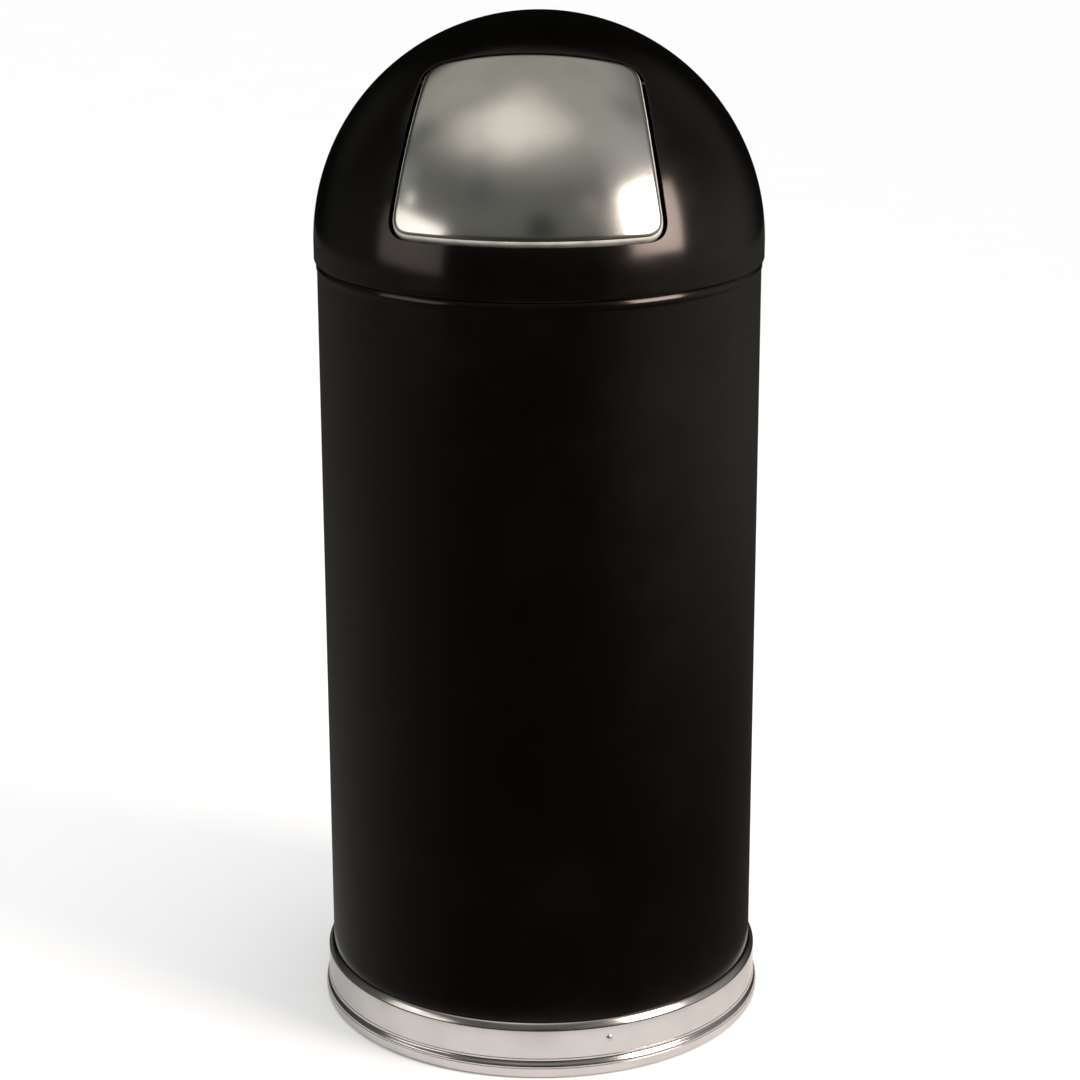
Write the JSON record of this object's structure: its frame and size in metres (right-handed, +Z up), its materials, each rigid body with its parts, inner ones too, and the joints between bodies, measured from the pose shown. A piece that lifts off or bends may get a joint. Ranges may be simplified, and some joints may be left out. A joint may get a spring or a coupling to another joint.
{
  "type": "dome top waste receptacle",
  "caption": "Round floor-standing waste receptacle with a lift-off hemispherical top, an inward-swinging sprung push door, a bright trim ring and a loose liner.",
  "frame": {"origin": "on the floor at the centre of the base", "axes": "+Z up, the push door faces -Y, +X is to the right of someone facing the door"},
  "size_m": [0.3964, 0.3964, 0.889],
  "materials": {
    "gloss_black_paint": "gloss black baked enamel",
    "polished_aluminium": "polished trim with fine drawn lines",
    "satin_stainless": "satin stainless steel",
    "galvanised_steel": "galvanised sheet with spangle",
    "zinc_hardware": "zinc plated hardware",
    "spring_steel": "drawn spring wire",
    "black_rubber": "matte black rubber",
    "grey_vinyl": "translucent grey vinyl"
  },
  "bodies": {
    "can": {"body_shell": "gloss_black_paint", "body_floor": "gloss_black_paint", "base_trim_ring": "polished_aluminium", "trim_rivets": "polished_aluminium", "floor_guard": "grey_vinyl"},
    "dome": {"dome_shell": "gloss_black_paint", "dome_seat_ring": "gloss_black_paint", "hinge_bracket_left": "zinc_hardware", "hinge_bracket_right": "zinc_hardware", "hinge_rod": "zinc_hardware", "rod_clips": "spring_steel", "torsion_spring_left": "spring_steel", "torsion_spring_right": "spring_steel"},
    "door": {"door_panel": "satin_stainless", "door_ear_left": "satin_stainless", "door_ear_right": "satin_stainless", "door_stop_tabs": "satin_stainless", "door_stop_bumpers": "black_rubber"},
    "liner": {"liner_wall": "galvanised_steel", "liner_bottom": "galvanised_steel", "liner_rim_wire": "zinc_hardware", "bail_ear_left": "zinc_hardware", "bail_ear_right": "zinc_hardware", "bail_ear_rivets": "zinc_hardware"},
    "bail": {"bail_handle": "zinc_hardware"}
  },
  "joints": [
    {"name": "dome_lift", "type": "slide", "parent": "can", "child": "dome", "axis": [0, 0, 1], "range_m": [0, 1]},
    {"name": "door_swing", "type": "hinge", "parent": "dome", "child": "door", "pos_m": [0, -0.07161, 0.83858], "axis": [1, 0, 0], "range_deg": [0, 70], "stiffness_Nm_per_rad": 0.35, "springref_deg": -97.4, "deforming": ["torsion_spring_left", "torsion_spring_right"]},
    {"name": "liner_lift", "type": "slide", "parent": "can", "child": "liner", "axis": [0, 0, 1], "range_m": [0, 0.67]},
    {"name": "bail_swing", "type": "hinge", "parent": "liner", "child": "bail", "pos_m": [0, 0, 0.636], "axis": [1, 0, 0], "range_deg": [0, 90]}
  ],
  "couplings": [
    {"joint": "liner_lift", "follows": "dome_lift", "ratio": 0.66},
    {"joint": "bail_swing", "follows": "dome_lift", "rad_per_m": 1.57}
  ]
}
